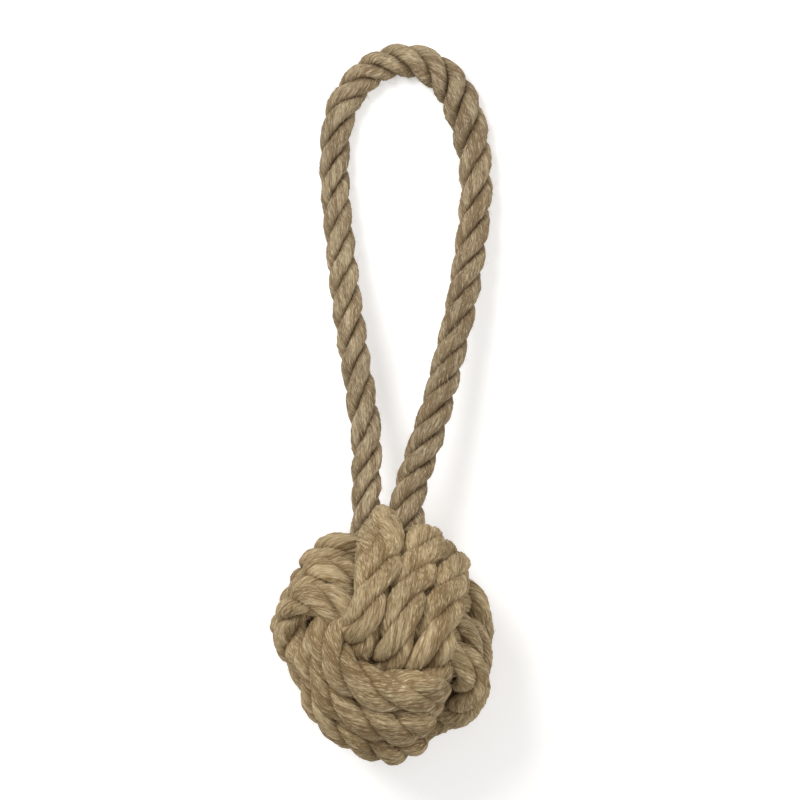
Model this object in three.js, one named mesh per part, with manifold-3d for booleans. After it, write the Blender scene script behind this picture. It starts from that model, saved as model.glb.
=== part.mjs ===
// Rope dog toy: a monkey's fist knot tied over a ball core, with one long turn of
// the rope left standing as a loop handle. Units are millimetres, +Z is up.
// The toy lies on a table: the knot rests on flats under it, and the handle runs
// along +Y from the top of the knot and slopes down until its far end lies flat.
import * as THREE from 'three';
import { mergeVertices } from 'three/addons/utils/BufferGeometryUtils.js';
import Module from 'manifold-3d';

const wasm = await Module();
wasm.setup();

// Driving dimensions: the rope, free in the handle and squeezed in the knot
const ROPE_DIAMETER = 14;
const PACKED_WIDTH = 15;
const PACKED_THICKNESS = 12.4;
const TURN_GAP = 0.5;
const CROSSING_GAP = 0.9;
const SEAT_GAP = 0.3;

// Driving dimensions: the neck, where the handle bends, measured from the knot's centre
const BEND_FORWARD = 61;
const BEND_BELOW = 13;
const LEFT_LEG_SIDE = -6.9;
const RIGHT_LEG_SIDE = 10.6;

// Driving dimensions: the left leg is tucked this far past the edge of the knot, and
// the right leg joins its turn this far from the middle of the top face
const LEFT_TUCK = 6;
const RIGHT_JOIN = 7;

// How the knot was drawn up: narrower than it is tall, with rounded corners, and
// pulled out towards the handle at the neck
const WIDTH_SHARE = 0.955;
const HEIGHT_SHARE = 1.03;
const ROUNDING_SHARE = 0.14;
const NECK_PULL = 5;
const NECK_SPREAD_SHARE = 0.42;

// The toy rests on flats this deep, as a share of the rope's diameter
const REST_FLAT_SHARE = 0.1;

// Where in its passage a turn moves one lane sideways, as shares of the passage
const SHIFT_LENGTH_SHARE = 0.45;
const FIRST_SHIFT_SHARE = 0.4;

// The rope's way round the edge of the knot from one coil to the next, as shares of
// its reach ahead and outward beyond the lanes, and of a lane across
const LINK_SHARES = [
  [0.16, 1, 1],
  [0.5, 0.9, 1.02],
  [0.8, 0.64, 0.98],
  [0.95, 0.32, 0.74],
  [1, 0.08, 0.38],
];

// How hard the legs head into the knot, as shares of the length of a root
const ROOT_HEADING_SHARE = 0.45;

// Counts of steps, sides and turns
const TURNS = 3;
const COIL_SIDES = 6;
const ARC_STEPS = 3;
const PASSAGE_STEPS = 7;
const HANDLE_SIDES = 10;
const HANDLE_STEPS = 56;
const ROOT_STEPS = 8;
const CORE_SEGMENTS = 28;
const CORE_RINGS = 16;

// The handle's centre line seen from above, from the left leg round to the right leg,
// as places across and forward of the knot's centre
const HANDLE_ROUTE = [
  [-6.8, 68], [-6.7, 84], [-9, 101], [-11.5, 119], [-14.8, 143], [-18.4, 176],
  [-20, 202], [-17.6, 221], [-11, 232.5], [-2, 240], [9.6, 243], [20, 240.5],
  [29.5, 232.5], [36.2, 216], [39.2, 192], [37.9, 172], [34.8, 151], [31.5, 134],
  [27.4, 117.5], [23.2, 101], [18, 84.5], [12.6, 68],
];
const FAR_END_FORWARD = 205;

// The turns lie on a lattice: neighbouring turns are one lane apart, and each coil
// runs outside over two faces of the knot and passes inside the next coil between them
const lane = PACKED_WIDTH + TURN_GAP;
const layer = PACKED_THICKNESS + CROSSING_GAP;
const passage = lane + layer;
const face = passage + layer;
const reach = face - lane;
const coreRadius = (passage - PACKED_THICKNESS / 2) * WIDTH_SHARE - SEAT_GAP;

// The knot's own directions as the toy lies: out of its right face, out of the top
// face beside the handle, and out of the front face that shows most from above
const RIGHT = new THREE.Vector3(0.9015, -0.3733, -0.219).normalize();
const UP = new THREE.Vector3(0.412, 0.5856, 0.698).cross(RIGHT).normalize();
const FRONT = new THREE.Vector3().crossVectors(RIGHT, UP);
const NECK = new THREE.Vector3(0.05, 0.98, -0.1).normalize();

const JUTE = { color: 0xab8f66, roughness: 0.95, metalness: 0 };
const WOOD = { color: 0xc9a877, roughness: 0.7, metalness: 0 };

function smooth(share) {
  const t = THREE.MathUtils.clamp(share, 0, 1);
  return t * t * (3 - 2 * t);
}

// Takes a point of the square lattice, as right, up and front, to where it lies in the
// round knot: the corners are drawn in, and the neck is pulled out
function drawUp(lattice) {
  const { x: right, y: up, z: front } = lattice;
  const squareness = (front ** 4 + up ** 4 + right ** 4) / lattice.length() ** 4;
  const drawn = 1 - ROUNDING_SHARE * (1 - squareness);
  const point = new THREE.Vector3()
    .addScaledVector(RIGHT, right * drawn)
    .addScaledVector(UP, up * drawn)
    .addScaledVector(FRONT, front * drawn);
  const away = point.clone().normalize().distanceTo(NECK) / NECK_SPREAD_SHARE;
  const pull = NECK_PULL * Math.exp(-away * away) * Math.min(point.length() / face, 1);
  point.x *= WIDTH_SHARE;
  point.y = point.y * HEIGHT_SHARE + pull;
  return point;
}

// The stations of one coil in its own directions: out is square to the two faces that
// it runs over, along is the way it sets off, and side is across its turns. A coil
// that is linked to the one before it starts with the rope's way round the edge.
function coilStations(start, linked, tucked) {
  const stations = [];
  const arc = (from, out, along, side) => {
    for (let i = 1; i <= ARC_STEPS; i += 1) {
      const angle = from + (Math.PI / 2) * (i / ARC_STEPS);
      stations.push([out + layer * Math.cos(angle), along + layer * Math.sin(angle), side]);
    }
  };
  const pass = (from, along, side, nextSide, late) => {
    for (let i = 1; i <= PASSAGE_STEPS; i += 1) {
      const share = i / PASSAGE_STEPS;
      const moved = smooth((share - late) / SHIFT_LENGTH_SHARE);
      stations.push([from * (1 - 2 * share), along, side + (nextSide - side) * moved]);
    }
  };
  if (linked) {
    stations.push([lane + SEAT_GAP, -lane, face]);
    LINK_SHARES.forEach(([ahead, out, across]) => {
      stations.push([lane + ahead * reach, -across * lane, lane + out * reach]);
    });
  }
  stations.push([face, start, lane]);
  for (let turn = 0; turn < TURNS; turn += 1) {
    const side = lane * (1 - turn);
    const nextSide = side - lane;
    if (turn) stations.push([face, 0, side]);
    stations.push([face, lane, side]);
    arc(0, passage, lane, side);
    pass(passage, passage, side, side, 0);
    arc(Math.PI / 2, -passage, lane, side);
    stations.push([-face, 0, side], [-face, -lane, side]);
    if (turn < TURNS - 1) {
      arc(Math.PI, -passage, -lane, side);
      pass(-passage, -passage, side, nextSide, turn ? 0 : FIRST_SHIFT_SHARE);
      arc(1.5 * Math.PI, passage, -lane, nextSide);
    } else if (tucked) {
      arc(Math.PI, -passage, -lane, side);
    }
  }
  return stations;
}

// The directions that a coil calls out, along and side, and those of the next coil:
// it goes straight on over the edge, and there turns a right angle
function onLattice({ out, along, side }, [a, b, c]) {
  return new THREE.Vector3().addScaledVector(out, a).addScaledVector(along, b).addScaledVector(side, c);
}

function nextDirections({ out, along, side }) {
  return { out: along.clone().negate(), along: side.clone(), side: out.clone().negate() };
}

function geometryOf(positions, index) {
  const geometry = new THREE.BufferGeometry();
  geometry.setAttribute('position', new THREE.Float32BufferAttribute(positions, 3));
  geometry.setIndex(index);
  return geometry;
}

// Where a point of the rope's skin lies at one station of its line: the angle goes
// round the rope from its side away from the knot's centre
function skinPoint(line, i, angle) {
  const before = line[Math.max(i - 1, 0)];
  const after = line[Math.min(i + 1, line.length - 1)];
  const ahead = new THREE.Vector3().subVectors(after, before).normalize();
  const outward = line[i].clone().addScaledVector(ahead, -line[i].dot(ahead)).normalize();
  const across = new THREE.Vector3().crossVectors(ahead, outward);
  return drawUp(line[i].clone()
    .addScaledVector(outward, (PACKED_THICKNESS / 2) * Math.cos(angle))
    .addScaledVector(across, (PACKED_WIDTH / 2) * Math.sin(angle)));
}

// One unbroken tube round a line of lattice points, flattened against the knot, drawn
// up point by point with the knot
function coilTube(line) {
  const positions = [];
  const index = [];
  line.forEach((centre, i) => {
    for (let j = 0; j < COIL_SIDES; j += 1) {
      positions.push(...skinPoint(line, i, (2 * Math.PI * j) / COIL_SIDES));
    }
  });
  for (let a = 0; a < (line.length - 1) * COIL_SIDES; a += 1) {
    const b = a % COIL_SIDES === COIL_SIDES - 1 ? a + 1 - COIL_SIDES : a + 1;
    index.push(a, b, a + COIL_SIDES, b, b + COIL_SIDES, a + COIL_SIDES);
  }
  const last = (line.length - 1) * COIL_SIDES;
  for (let j = 1; j < COIL_SIDES - 1; j += 1) {
    index.push(0, j + 1, j, last, last + j, last + j + 1);
  }
  return geometryOf(positions, index);
}

// The least gap between one turn and another of the same tube, on its corner points
function leastGap(geometry) {
  const places = geometry.getAttribute('position');
  const apart = COIL_SIDES * (ARC_STEPS + ARC_STEPS);
  const one = new THREE.Vector3();
  const other = new THREE.Vector3();
  let least = Infinity;
  for (let i = 0; i < places.count; i += 1) {
    one.fromBufferAttribute(places, i);
    for (let j = i + apart; j < places.count; j += 1) {
      least = Math.min(least, one.distanceTo(other.fromBufferAttribute(places, j)));
    }
  }
  return least;
}

function toSolid(geometry) {
  geometry.deleteAttribute('normal');
  geometry.deleteAttribute('uv');
  const merged = mergeVertices(geometry);
  return new wasm.Manifold(new wasm.Mesh({
    numProp: 3,
    vertProperties: new Float32Array(merged.getAttribute('position').array),
    triVerts: new Uint32Array(merged.getIndex().array),
  }));
}

function toGeometry(solid) {
  const { vertProperties, triVerts } = solid.getMesh();
  return geometryOf(vertProperties, [...triVerts]);
}

// Cuts off what lies below the table
function flattenBelow(geometry, floor) {
  geometry.computeBoundingBox();
  const size = geometry.boundingBox.getSize(new THREE.Vector3()).addScalar(ROPE_DIAMETER);
  const middle = geometry.boundingBox.getCenter(new THREE.Vector3());
  const below = new THREE.BoxGeometry(size.x, size.y, size.z);
  below.translate(middle.x, middle.y, floor - size.z / 2);
  return toGeometry(toSolid(geometry).subtract(toSolid(below)));
}

function lowest(geometry) {
  geometry.computeBoundingBox();
  return geometry.boundingBox.min.z;
}

function ropeAlong(path, diameter, steps) {
  const section = new THREE.Shape().absarc(0, 0, diameter / 2, 0, 2 * Math.PI);
  const curveSegments = HANDLE_SIDES / 2;
  return new THREE.ExtrudeGeometry(section, { steps, extrudePath: path, bevelEnabled: false, curveSegments });
}

function named(name, geometry, finish) {
  const mesh = new THREE.Mesh(geometry, new THREE.MeshStandardMaterial(finish));
  mesh.name = name;
  return mesh;
}

// The three coils, in the order that the rope is wound. The first sets off from the
// right leg across the top face, and the last one's end is tucked in at the top edge.
const firstDirections = {
  out: new THREE.Vector3(0, 1, 0),
  along: new THREE.Vector3(1, 0, 0),
  side: new THREE.Vector3(0, 0, 1),
};
const secondDirections = nextDirections(firstDirections);
const thirdDirections = nextDirections(secondDirections);
const crossLine = coilStations(RIGHT_JOIN, false, false).map((p) => onLattice(firstDirections, p));
const sideLine = coilStations(0, true, false).map((p) => onLattice(secondDirections, p));
const frontLine = coilStations(0, true, true).map((p) => onLattice(thirdDirections, p));
const coils = { cross_coil: crossLine, side_coil: sideLine, front_coil: frontLine };

// The two ends of the handle where they go into the knot. Each starts just below the
// ball end of its leg and heads into the knot along the way given.
const bendHeight = -BEND_BELOW;
const rootTop = BEND_FORWARD - ROPE_DIAMETER / 2 - SEAT_GAP;

function root(name, side, foot, heading) {
  const top = new THREE.Vector3(side, rootTop, bendHeight);
  const hold = top.distanceTo(foot) * ROOT_HEADING_SHARE;
  const path = new THREE.CubicBezierCurve3(
    top,
    top.clone().add(new THREE.Vector3(0, -hold, 0)),
    foot.clone().addScaledVector(heading, -hold),
    foot,
  );
  return named(name, ropeAlong(path, PACKED_THICKNESS, ROOT_STEPS), JUTE);
}

function leftRoot() {
  const edge = drawUp(new THREE.Vector3(-passage, passage, lane));
  const foot = drawUp(new THREE.Vector3(-passage, passage - LEFT_TUCK, lane));
  return root('left_leg_root', LEFT_LEG_SIDE, foot, foot.clone().sub(edge).normalize());
}

function rightRoot() {
  const join = drawUp(crossLine[0]);
  const outward = skinPoint(crossLine, 0, 0).sub(join);
  const across = skinPoint(crossLine, 0, Math.PI / 2).sub(join);
  const heading = outward.cross(across).normalize();
  return root('right_leg_root', RIGHT_LEG_SIDE, join.addScaledVector(heading, -SEAT_GAP), heading);
}

// The loop handle: from the left leg's ball end round to the right leg's
function handleLoop(floor) {
  const farHeight = floor + ROPE_DIAMETER * (0.5 - REST_FLAT_SHARE);
  const slope = (farHeight - bendHeight) / (FAR_END_FORWARD - BEND_FORWARD);
  const places = [[LEFT_LEG_SIDE, BEND_FORWARD], ...HANDLE_ROUTE, [RIGHT_LEG_SIDE, BEND_FORWARD]];
  const points = places.map(([x, y]) => {
    const height = Math.max(bendHeight + slope * (y - BEND_FORWARD), farHeight);
    return new THREE.Vector3(x, y, height);
  });
  const path = new THREE.CatmullRomCurve3(points, false, 'centripetal');
  let solid = toSolid(ropeAlong(path, ROPE_DIAMETER, HANDLE_STEPS));
  [points[0], points[points.length - 1]].forEach((end) => {
    const ball = new THREE.SphereGeometry(ROPE_DIAMETER / 2, HANDLE_SIDES, HANDLE_SIDES / 2);
    ball.translate(end.x, end.y, end.z);
    solid = solid.add(toSolid(ball));
  });
  return named('handle_loop', flattenBelow(toGeometry(solid), floor), JUTE);
}

const toy = new THREE.Group();
const knotTubes = Object.values(coils).map(coilTube);
const table = Math.min(...knotTubes.map(lowest)) + ROPE_DIAMETER * REST_FLAT_SHARE;
Object.keys(coils).forEach((name, i) => {
  console.log(name, 'least gap between its turns', leastGap(knotTubes[i]).toFixed(2), 'mm');
  toy.add(named(name, flattenBelow(knotTubes[i], table), JUTE));
});
toy.add(named('core_ball', new THREE.SphereGeometry(coreRadius, CORE_SEGMENTS, CORE_RINGS), WOOD));
toy.add(leftRoot(), rightRoot(), handleLoop(table));

// The origin is under the middle of the toy, on the table
const bounds = new THREE.Box3().setFromObject(toy);
const middle = bounds.getCenter(new THREE.Vector3());
toy.position.set(-middle.x, -middle.y, -table);

export default toy;
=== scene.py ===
import math
from collections import namedtuple

import bpy
import numpy as np
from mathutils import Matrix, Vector


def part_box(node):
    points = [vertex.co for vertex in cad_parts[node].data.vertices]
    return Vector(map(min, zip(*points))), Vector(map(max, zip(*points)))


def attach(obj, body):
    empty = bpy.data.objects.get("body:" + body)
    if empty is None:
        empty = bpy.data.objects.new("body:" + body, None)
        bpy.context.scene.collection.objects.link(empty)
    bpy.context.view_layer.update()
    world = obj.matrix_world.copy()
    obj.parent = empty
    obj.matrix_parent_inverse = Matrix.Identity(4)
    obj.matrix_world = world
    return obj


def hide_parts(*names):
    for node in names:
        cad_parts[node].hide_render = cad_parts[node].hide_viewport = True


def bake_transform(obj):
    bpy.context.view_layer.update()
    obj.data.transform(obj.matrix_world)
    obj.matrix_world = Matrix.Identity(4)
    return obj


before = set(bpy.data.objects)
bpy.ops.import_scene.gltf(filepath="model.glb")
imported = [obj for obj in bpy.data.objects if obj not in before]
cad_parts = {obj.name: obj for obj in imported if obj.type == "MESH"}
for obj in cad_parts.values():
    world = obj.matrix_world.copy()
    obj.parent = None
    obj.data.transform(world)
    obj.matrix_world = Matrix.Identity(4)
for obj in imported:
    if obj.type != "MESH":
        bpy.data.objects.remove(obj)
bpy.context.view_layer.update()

bl_info = {
    "name": "Rope dog toy",
    "version": (1, 0, 0),
    "blender": (4, 5, 0),
    "location": "View3D > Sidebar > Rope toy",
    "description": "Dresses the packed frame of a knotted rope toy in laid jute rope",
    "category": "Add Mesh",
}

MM = 0.001

# The rope's way through the knot, in millimetres, as the frame has it: each turn is one
# lane from the next, and each crossing one layer deep
PACKED_WIDTH = 15.0
PACKED_THICKNESS = 12.4
TURN_GAP = 0.5
CROSSING_GAP = 0.9
LANE = PACKED_WIDTH + TURN_GAP
LAYER = PACKED_THICKNESS + CROSSING_GAP
PASSAGE = LANE + LAYER
FACE = PASSAGE + LAYER
TURNS = 3

# Where the legs leave the knot, in millimetres from its centre. Then how far the left one is
# tucked in, how far past the middle of its face the right one joins the first coil, how far
# forward the handle comes down to the table, and how high its centre line lies there.
BEND_FORWARD = 61.0
BEND_BELOW = 13.0
LEFT_LEG_SIDE = -6.9
RIGHT_LEG_SIDE = 10.6
LEFT_TUCK = 6.0
RIGHT_JOIN = 7.0
FAR_END_FORWARD = 205.0
FAR_END_HEIGHT = 5.6

# How the knot was drawn up, as shares, with the neck's pull in millimetres
WIDTH_SHARE = 0.955
HEIGHT_SHARE = 1.03
ROUNDING_SHARE = 0.14
NECK_PULL = 5.0
NECK_SPREAD_SHARE = 0.42

# How much of its way through the knot a turn takes to shift to the next lane, and how late
# the first turn starts to
SHIFT_LENGTH_SHARE = 0.45
FIRST_SHIFT_SHARE = 0.4

# The handle's ends in the knot, in millimetres: their length, and how far the legs draw
# together above them. Then how far each end holds its heading, as shares of its reach.
ROOT_LENGTH = 30.0
ROOT_CLOSING = 1.5
ROOT_HEADING_SHARE = 0.45
LEFT_ROOT_SHARE = 0.9
LEFT_FOOT_SHARE = 0.1

# How far the rope's own end goes on into the knot after its last turn, in millimetres
TUCKED_DEPTH = 16.0

# The rope's way round the edge of the knot from one coil to the next, as shares of its
# reach ahead and outward beyond the lanes, and of a lane across
LINK_SHARES = (
    (0.16, 1, 1), (0.5, 0.9, 1.02), (0.8, 0.64, 0.98), (0.95, 0.32, 0.74), (1, 0.08, 0.38),
)

# The handle's centre line from the left leg round to the right one, in millimetres
# across and forward of the knot's centre
HANDLE_ROUTE = (
    (-6.8, 68), (-6.7, 84), (-9, 101), (-11.5, 119), (-14.8, 143), (-18.4, 176),
    (-20, 202), (-17.6, 221), (-11, 232.5), (-2, 240), (9.6, 243), (20, 240.5),
    (29.5, 232.5), (36.2, 216), (39.2, 192), (37.9, 172), (34.8, 151), (31.5, 134),
    (27.4, 117.5), (23.2, 101), (18, 84.5), (12.6, 68),
)

# The handle's thickness beside the rope's own, at some shares of its way from the right
# leg's end to the left leg's
HANDLE_GIRTH_AT = (
    0, 0.05, 0.1, 0.17, 0.25, 0.35, 0.375, 0.4, 0.425, 0.45,
    0.475, 0.5, 0.525, 0.575, 0.6, 0.65, 0.73, 0.8, 0.85, 1,
)
HANDLE_GIRTH = (
    0.96, 1.0, 1.0, 0.94, 0.945, 0.985, 1.03, 1.12, 1.16, 1.11,
    1.05, 1.0, 0.965, 0.955, 0.92, 0.875, 0.925, 0.91, 0.94, 0.84,
)

# How far the handle's rope lies outward of the frame's route, in millimetres, at such shares
HANDLE_ASIDE_AT = (
    0, 0.05, 0.12, 0.17, 0.23, 0.35, 0.4, 0.44, 0.48,
    0.5, 0.56, 0.66, 0.76, 0.81, 0.85, 0.95, 1,
)
HANDLE_ASIDE = (
    0, 0.45, 0.66, 0.35, 0.2, 0.12, -0.3, -0.8, -0.45,
    -0.05, -0.2, 0.15, 0.15, -0.1, -0.32, -0.25, 0,
)

# How far the handle's strands are turned on from an even lay, in radians, at such shares
HANDLE_TWIST_AT = (
    0, 0.06, 0.09, 0.15, 0.2, 0.24, 0.29, 0.335, 0.37, 0.425, 0.45,
    0.495, 0.535, 0.585, 0.64, 0.7, 0.76, 0.8, 0.84, 0.89, 1,
)
HANDLE_TWIST = (
    0, -1.1, -1.3, -0.95, -0.85, -0.66, -0.3, -0.05, 0.38, 0.76, 0.45,
    0.14, -0.88, -1.2, -1.0, -0.8, -0.85, -0.93, -0.45, -0.11, -0.11,
)

# What is added to the tones of the handle's yarns at such shares. A tone of 0 is the darkest
# yarn, and 1 the palest.
HANDLE_SHADE_AT = (0, 0.1, 0.4, 0.6, 1)
HANDLE_SHADE = (-0.2, -0.26, -0.25, -0.12, -0.06)

# The share of its colour that the handle has lost to light and use
HANDLE_FADED = 0.11

# How the rope's centre line is drawn: points round each edge of the knot, along each passage
# through it, to each stretch of the handle and to each of its ends, millimetres between the
# points in the end, and steps over which corners are rounded and a heading is taken
EDGE_STEPS = 10
PASSAGE_STEPS = 20
STRETCH_STEPS = 24
ROOT_STEPS = 60
LINE_STEP = 0.5
KNOT_SOFTENING = 5
HANDLE_SOFTENING = 6
HEADING_STEPS = 4

# How the rope is laid: three strands, with the yarns of each twisted back twice as fast, so
# that they lie along the rope. A strand's radius is a share of the rope's, and in the knot
# the rope is squeezed from an ellipse towards a box.
STRANDS = 3
FREE_STRAND_SHARE = 0.49
SQUEEZED_STRAND_SHARE = 0.54
ELLIPSE_POWER = 2
BOX_POWER = 3.2
YARN_TURN_SHARE = 2.08
YARNS = 13

# The height of a yarn's skin across it, beside the yarns' depth
YARN_PROFILE = (0.1, -0.25, -0.9, -0.25)
COLUMNS = YARNS * len(YARN_PROFILE)

# How much of the groove between round strands stays open, and how much flatter than round
# the strands are on top
GROOVE_SHARE = 0.85
FLATNESS = 0.55

# How unevenly the rope is laid: each drift's usual wave along the rope in millimetres, and
# its size, in radians for turns, in millimetres for lumps, and else as a share. A drift is
# the sum of waves that are these shares of its usual one.
ROPE_SEED = 31
WAVE_SHARES = (0.6, 0.85, 1.2, 1.9)
ROPE_TURN_DRIFT = (70, 0.12)
STRAND_TURN_DRIFT = (31, 0.06)
STRAND_GIRTH_DRIFT = (24, 0.04)
YARN_LUMP_DRIFTS = ((14, 0.14), (5, 0.1))
YARN_DEPTH_DRIFT = (11, 0.5)
YARN_TONE_DRIFT = (60, 0.22)

# The yarns' own tones, and how rough their skin is in millimetres
YARN_TONES = (0.2, 0.8)
ROUGHNESS_MM = 0.05

# Rope this near the knot's centre, in millimetres, is out of sight, and has a share of the
# usual rows. The handle's rows are closer together than the knot's.
DEEP_MM = 33.0
DEEP_ROW_SHARE = 0.5
HANDLE_ROW_SHARE = 0.8

# How far apart the handle's fibre pattern takes the strands, so that no two look alike
STRAND_APART_MM = 20

# Each coil's piece, the node that it stands for, and what is added to its yarns' tones: painted
# shade that darkens the cross coil, which faces down away from the lamps, and a little the front coil
COIL_PIECES = (
    ("cross_turns", "cross_coil", -0.16),
    ("side_turns", "side_coil", 0),
    ("front_turns", "front_coil", -0.06),
)

# Between two points of the handle rope's path, in millimetres
PATH_STEP = 4.0

# Loose fibres: rings and sides of each, its root's depth and its radii in millimetres, the
# share by which it tapers, how far it is lifted off the rope beside the most that it can be,
# and how its length is spread round the usual one: a gamma distribution's shape and scale
FIBRE_RINGS = 4
FIBRE_SIDES = 3
FIBRE_ROOT_MM = 0.25
FIBRE_RADII_MM = (0.045, 0.09)
FIBRE_TAPER_SHARE = 0.7
FIBRE_LIFTS = (0.1, 0.8)
FIBRE_SPREAD = (2.2, 0.4)

# The middle and the tip of a loose fibre, as shares of its length: along the rope, off the
# rope, and astray
FIBRE_MIDDLE = (0.5, 0.25, 0.1)
FIBRE_TIP = (0.8, 0.6, 0.22)
HANDLE_FIBRE_SEED = 21
KNOT_FIBRE_SEED = 22

# A fibre of jute is under a tenth of a millimetre wide, too fine to show, so that streaks
# are drawn as bundles of fibres. Wear shows in patches of this size.
FIBRE_WIDTH_MM = 0.36
FIBRE_LENGTH_MM = 2.4
PATCH_MM = 22.0

# What the jute's fibres, height and patches turn into: from which value to which, and what
# they give there. The streaks are added to the yarns' tones, and the rest are shares.
SPAN = ("From Min", "From Max", "To Min", "To Max")
STREAKS = (0.3, 0.7, -0.7, 0.6)
GLINTS = (0.58, 0.72, 0.0, 0.78)
# Painted shade: where the skin lies low between the strands, it takes the groove colour
PAINTED_GROOVE_SHADE = (0.45, 0.88, 1.0, 0.0)
WEAR = (0.3, 0.7, 0.78, 0.99)
ROUGHNESS = (0.3, 0.7, 0.95, 0.75)

# Beech's rings show about three millimetres apart where a ball is turned across them, and
# Blender's ring pattern repeats after this much of its own space
RING_MM = 3.0
WAVE_REPEAT = math.pi / 10

# Where the Mix node has its colours, whose names its other sockets share
MIX_A = 6
MIX_B = 7
MIX_RESULT = 2

# The turns crowd in on each corner of the knot's lattice, by a share of their way and within
# a reach in millimetres, and are wider there by a share
CORNER_PULL_SHARE = 0.44
CORNER_REACH = 15.0
CORNER_SPREAD_SHARE = 0.32

# Where the hand that tied the knot pulled or pressed its turns: the place on it, in
# millimetres from its centre, how far round it that reached, and how far the rope there moved
PULLS = (
    ((12, 18, 42), 20, (-6.0, 0, 1.7)),
    ((20, 42, 12), 9, (1.5, 1.2, 0)),
    ((2, 46, 14), 9, (-4.5, 1.5, 0)),
    ((20, -26, 34), 12, (0, 6.5, 5.0)),
    ((-39, -27, 0), 16, (6.5, 4.8, 0)),
    ((-39, -18, 0), 9, (6.5, 1.5, 0)),
    ((-30, 3, 32), 11, (-1.5, 5.0, 0)),
    ((-33, -9, 30), 9, (-2.0, 2.5, 0)),
    ((-34, -20, -22), 12, (4.0, 2.0, 0)),
    ((-41, 22, 0), 12, (2.0, -1.0, 0)),
    ((-46, 4, 0), 7, (-1.4, 0, 0)),
    ((46, 6, 0), 12, (-2.5, 0, 0)),
    ((-35, 0, 30), 7, (-3.5, 3.0, 1.5)),
    ((-40, -8, 12), 8, (1.2, 0.2, -2.0)),
    ((-37, -19, 14), 9, (2.9, 0.9, 0)),
    ((-1, 50, 8), 7, (1.7, -0.6, 0)),
    ((32, -14, 32), 7, (-1.0, 0.5, -4.0)),
    ((-11, 38, 26), 8, (-1.6, 0, 0)),
    ((-29, 41, 0), 4, (-1.0, 1.4, 0)),
    ((-41, 20, 0), 5, (2.2, -1.0, 0)),
    ((-20, 44, 0), 8, (0, -2.4, 0)),
    ((-15, -45, 0), 5, (-0.8, -2.0, 0)),
    ((-7, -47, 0), 4, (0, 1.6, 0)),
    ((6, -50, 0), 4, (0, 3.2, 0)),
    ((13, -48, 0), 4, (0.5, -1.6, 0)),
    ((27, -40, 0), 8, (-3.2, 7.0, 0)),
    ((22, -34, -22), 10, (-1.0, 3.0, 0)),
    ((42, 22, 0), 7, (2.2, 2.2, 0)),
    ((36, 30, 0), 6, (-4.2, -0.4, 0)),
    ((36, 32, 12), 6, (-1.8, 0, 0)),
    ((42, -24, 0), 7, (1.5, -0.8, 0)),
    ((29, 41, 4), 9, (3.0, 4.0, 0)),
    ((21, 46, 0), 6, (-2.0, -5.2, 0)),
    ((19, -45, 0), 6, (1.4, -1.6, 0)),
    ((36, -33, 0), 8, (0.8, -1.2, 0)),
)

# Where the rope is spread flat, in millimetres from the knot's centre, how far along that
# reaches, and how many times its own width it is there
SPREADS = (
    ((-2, 33, 33), 8, 1.3),
    ((-1, 48, 10), 8, 1.08),
)

# Where the rope leans over as it bends, how far along that reaches, and which way its
# outward side leans there
LEANS = (
    ((-1, 48, 10), 9, (-1.6, 0, 0)),
)

# Where the grooves between strands are pulled nearly shut, how far along that reaches, and
# the share of them that is shut
SHUT = (
    ((-1, 47, 20), 10, 0.92),
    ((28, 32, 24), 9, 0.5),
    ((16, -28, 34), 11, 0.5),
)

# Where the knot's lay is other than usual, how far round that reaches, and how many times
# its usual length it is there
LAYS = (
    ((10, 14, 43), 22, 1.4),
    ((-36, 22, 20), 16, 0.84),
    ((-4, -30, 34), 14, 1.25),
)

# Where the strand that faces outward is bunched up narrow or spread wide, how far round that
# reaches, and how many times its usual width it is there
BUNCHES = (
    ((14, 6, 44), 20, 0.78),
    ((-36, 22, 20), 14, 1.3),
    ((-4, -30, 34), 15, 1.3),
)

# How far the knot's strands are turned on from an even lay, in radians, at some lengths
# along its rope in millimetres
KNOT_TWIST_AT = (0, 1280, 1380, 1450, 1620, 1950)
KNOT_TWIST = (0, 0, 1.0, 1.0, 0.46, 0.7)

# The photograph's framing: millimetres to a pixel at the knot, and the frame's middle
PIXEL_MM = 0.41506
FRAME_PIXELS = 800
FRAME_MIDDLE = (6.97, 0.6)
CAMERA_DISTANCE = 5.0
SENSOR_MM = 36.0

# The lamps' names, places and widths, and what they all face, in metres
LAMPS = (
    ("key_lamp", (-0.75, 0.75, 1.5), 0.9),
    ("fill_lamp", (1.4, 0.2, 1.0), 1.2),
    ("top_lamp", (0.2, -0.1, 2.2), 0.7),
)
LAMP_AIM = (0, -0.05, 0)

# How far the floor reaches each way, in metres, and how far the rope lies off it, in
# millimetres
FLOOR_REACH = 3
TABLE_CLEARANCE = 0.05


def unit(vectors):
    return vectors / np.linalg.norm(vectors, axis=-1, keepdims=True)


# The knot's own directions, out of its right, top and front faces, and the way to its neck
RIGHT = unit(np.array((0.9015, -0.3733, -0.219)))
UP = unit(np.cross((0.412, 0.5856, 0.698), RIGHT))
FRONT = np.cross(RIGHT, UP)
NECK = unit(np.array((0.05, 0.98, -0.1)))


def knot_centre():
    """The middle of the core ball, in millimetres of the frame."""
    low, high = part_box("core_ball")
    return np.array((low + high) / 2) / MM


def smooth(share):
    """0 to 1 as the share is, but starting and ending gently."""
    t = np.clip(share, 0, 1)
    return t * t * (3 - 2 * t)


def mixed(first, second, share):
    """first where share is 0, second where it is 1."""
    return first * (1 - share) + second * share


def length_along(points):
    """Distance from the first point to each point of a line."""
    steps = np.linalg.norm(np.diff(points, axis=0), axis=1)
    return np.concatenate(((0,), np.cumsum(steps)))


def picked(values, places):
    """Rows of values at fractional places."""
    whole = np.arange(len(values))
    return np.stack([np.interp(places, whole, column) for column in values.T], axis=1)


def evenly(points, step):
    """The line through the points with new ones about a step apart."""
    along = length_along(points)
    wanted = np.linspace(0, along[-1], max(2, round(along[-1] / step) + 1))
    return picked(points, np.interp(wanted, along, np.arange(len(points))))


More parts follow.
